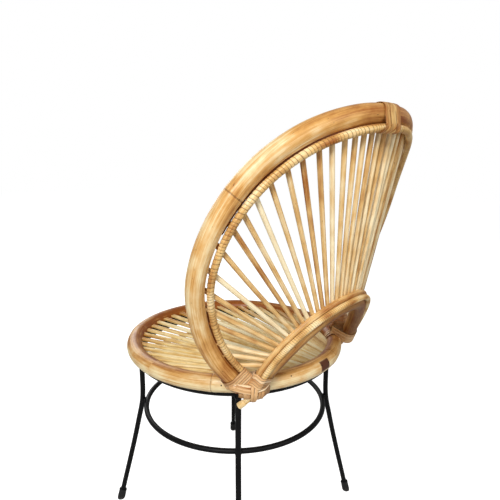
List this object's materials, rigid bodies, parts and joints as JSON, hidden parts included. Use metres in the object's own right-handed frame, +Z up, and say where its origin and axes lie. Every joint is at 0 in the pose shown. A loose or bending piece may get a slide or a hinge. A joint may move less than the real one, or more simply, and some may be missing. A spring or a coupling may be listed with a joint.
{
  "type": "peacock chair",
  "caption": "Rattan side chair with a fan back in a round hoop, a slatted round seat and a black rod base with splayed legs.",
  "frame": {"origin": "centre of the outline on the floor, under the chair", "axes": "+Z up, the sitter faces -Y, +X is to the right of someone who looks along +Y at the chair's front"},
  "size_m": [0.5478, 0.5596, 0.8847],
  "materials": {
    "rattan_pole": "satin lacquer",
    "rattan_rod": "satin lacquer",
    "cane_binding": "satin",
    "black_metal": "satin black powder coat",
    "black_rubber": "matte"
  },
  "bodies": {
    "root": {"seat_ring": "rattan_pole", "outer_hoop": "rattan_pole", "arch_pole": "rattan_pole", "seat_slats": "rattan_rod", "arch_top_rod": "rattan_rod", "spoke_left_1": "rattan_rod", "spoke_left_2": "rattan_rod", "spoke_left_3": "rattan_rod", "spoke_left_4": "rattan_rod", "spoke_left_5": "rattan_rod", "spoke_left_6": "rattan_rod", "spoke_left_7": "rattan_rod", "spoke_left_8": "rattan_rod", "spoke_left_9": "rattan_rod", "spoke_left_10": "rattan_rod", "spoke_left_11": "rattan_rod", "spoke_left_12": "rattan_rod", "spoke_left_13": "rattan_rod", "spoke_left_14": "rattan_rod", "spoke_left_15": "rattan_rod", "spoke_left_16": "rattan_rod", "spoke_left_17": "rattan_rod", "spoke_left_18": "rattan_rod", "spoke_right_1": "rattan_rod", "spoke_right_2": "rattan_rod", "spoke_right_3": "rattan_rod", "spoke_right_4": "rattan_rod", "spoke_right_5": "rattan_rod", "spoke_right_6": "rattan_rod", "spoke_right_7": "rattan_rod", "spoke_right_8": "rattan_rod", "spoke_right_9": "rattan_rod", "spoke_right_10": "rattan_rod", "spoke_right_11": "rattan_rod", "spoke_right_12": "rattan_rod", "spoke_right_13": "rattan_rod", "spoke_right_14": "rattan_rod", "spoke_right_15": "rattan_rod", "spoke_right_16": "rattan_rod", "spoke_right_17": "rattan_rod", "spoke_right_18": "rattan_rod", "spoke_right_19": "rattan_rod", "spoke_right_20": "rattan_rod", "spoke_right_21": "rattan_rod", "spoke_right_22": "rattan_rod", "inner_hoop": "cane_binding", "arch_rear_rod": "cane_binding", "top_wrap": "cane_binding", "lashing_left": "cane_binding", "lashing_right": "cane_binding", "base_top_ring": "black_metal", "base_stretcher_ring": "black_metal", "leg_1": "black_metal", "leg_2": "black_metal", "leg_3": "black_metal", "leg_4": "black_metal", "foot_cap_1": "black_rubber", "foot_cap_2": "black_rubber", "foot_cap_3": "black_rubber", "foot_cap_4": "black_rubber"}
  },
  "joints": []
}
